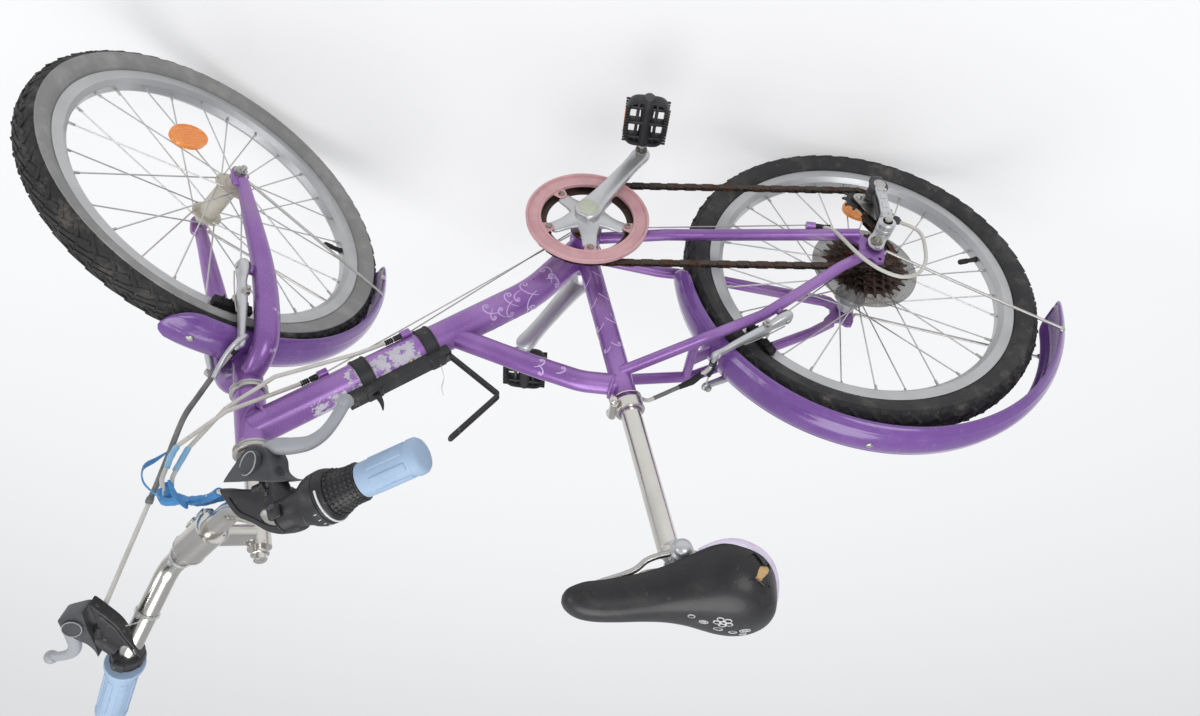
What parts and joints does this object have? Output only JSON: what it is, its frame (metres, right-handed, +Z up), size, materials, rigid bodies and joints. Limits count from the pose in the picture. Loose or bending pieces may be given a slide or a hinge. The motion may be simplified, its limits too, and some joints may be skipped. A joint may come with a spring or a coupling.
{
  "type": "bicycle",
  "caption": "Child's small-wheeled bicycle with a low curved frame, mudguards, rim brakes and rear derailleur, bars turned to the right",
  "frame": {"origin": "seat point on top of the saddle", "axes": "+X forward, +Y to the rider's left, +Z up"},
  "size_m": [1.3577, 0.4414, 0.8645],
  "materials": {
    "black_plastic": "black",
    "brake_rubber": "black",
    "chrome": "chrome plate with rust spots",
    "clear_plastic": "smoky clear",
    "cream_housing": "cream",
    "frame_paint": "metallic violet paint",
    "grey_plastic": "silver grey",
    "grip_rubber": "light blue",
    "guard_plastic": "glossy bluish violet",
    "hub_shell": "dull whitish",
    "orange_reflector": "orange",
    "pink_plastic": "dusty pink",
    "rim_alloy": "silver",
    "rusty_steel": "rusted steel",
    "saddle_vinyl": "black vinyl",
    "spoke_steel": "steel",
    "tyre_rubber": "black"
  },
  "bodies": {
    "frame": {"down_tube": "frame_paint", "top_tube": "frame_paint", "seat_tube": "frame_paint", "head_tube": "frame_paint", "bottom_bracket": "frame_paint", "chain_stays": "frame_paint", "seat_stays": "frame_paint", "seat_clamp": "chrome", "headset": "chrome", "seat_post": "chrome", "saddle_clamp": "chrome", "saddle_rails": "chrome", "saddle_base": "black_plastic", "saddle_cover": "saddle_vinyl", "rear_mudguard": "guard_plastic", "rear_mudguard_stays": "chrome", "bottle_cage": "black_plastic", "rear_brake_arms": "rim_alloy", "rear_brake_pads": "brake_rubber", "rear_brake_cable": "cream_housing", "derailleur_body": "rusty_steel", "derailleur_cage": "rusty_steel", "derailleur_pulleys": "black_plastic", "chain": "rusty_steel", "freewheel": "rusty_steel", "rear_axle": "chrome", "shift_cable": "cream_housing"},
    "steering": {"fork": "frame_paint", "stem": "chrome", "handlebar": "chrome", "grips": "grip_rubber", "twist_shifter": "black_plastic", "brake_perches": "black_plastic", "brake_levers": "grey_plastic", "front_brake_arms": "rim_alloy", "front_brake_pads": "brake_rubber", "front_brake_cable": "cream_housing", "front_mudguard": "guard_plastic", "front_mudguard_stays": "chrome", "front_axle": "chrome", "steering_cables": "cream_housing"},
    "front_wheel": {"front_tyre": "tyre_rubber", "front_rim": "rim_alloy", "front_spokes": "spoke_steel", "front_hub": "hub_shell", "front_reflector": "orange_reflector"},
    "rear_wheel": {"rear_tyre": "tyre_rubber", "rear_rim": "rim_alloy", "rear_spokes": "spoke_steel", "rear_hub": "hub_shell", "rear_reflector": "orange_reflector", "spoke_protector": "clear_plastic"},
    "crankset": {"chainring": "rusty_steel", "chain_guard": "pink_plastic", "right_crank": "rim_alloy", "left_crank": "rim_alloy", "bottom_bracket_axle": "rusty_steel"},
    "right_pedal": {"pedal_right": "black_plastic"},
    "left_pedal": {"pedal_left": "black_plastic"}
  },
  "joints": [
    {"name": "steering_turn", "type": "hinge", "parent": "frame", "child": "steering", "pos_m": [0.5091, 0, -0.201], "axis": [-0.3355, 0, 0.9421], "range_deg": [-18, 102], "deforming": ["steering_cables"]},
    {"name": "front_wheel_spin", "type": "hinge", "parent": "steering", "child": "front_wheel", "pos_m": [0.64471, -0.0174, -0.52424], "axis": [0.6304, 0.7431, 0.2245], "continuous": true},
    {"name": "rear_wheel_spin", "type": "hinge", "parent": "frame", "child": "rear_wheel", "pos_m": [-0.235, 0, -0.522], "axis": [0, 1, 0], "continuous": true},
    {"name": "crank_spin", "type": "hinge", "parent": "frame", "child": "crankset", "pos_m": [0.149, 0, -0.527], "axis": [0, 1, 0], "continuous": true},
    {"name": "right_pedal_spin", "type": "hinge", "parent": "crankset", "child": "right_pedal", "pos_m": [0.08374, -0.128, -0.64973], "axis": [0, 1, 0], "continuous": true},
    {"name": "left_pedal_spin", "type": "hinge", "parent": "crankset", "child": "left_pedal", "pos_m": [0.21426, 0.128, -0.40427], "axis": [0, 1, 0], "continuous": true}
  ]
}
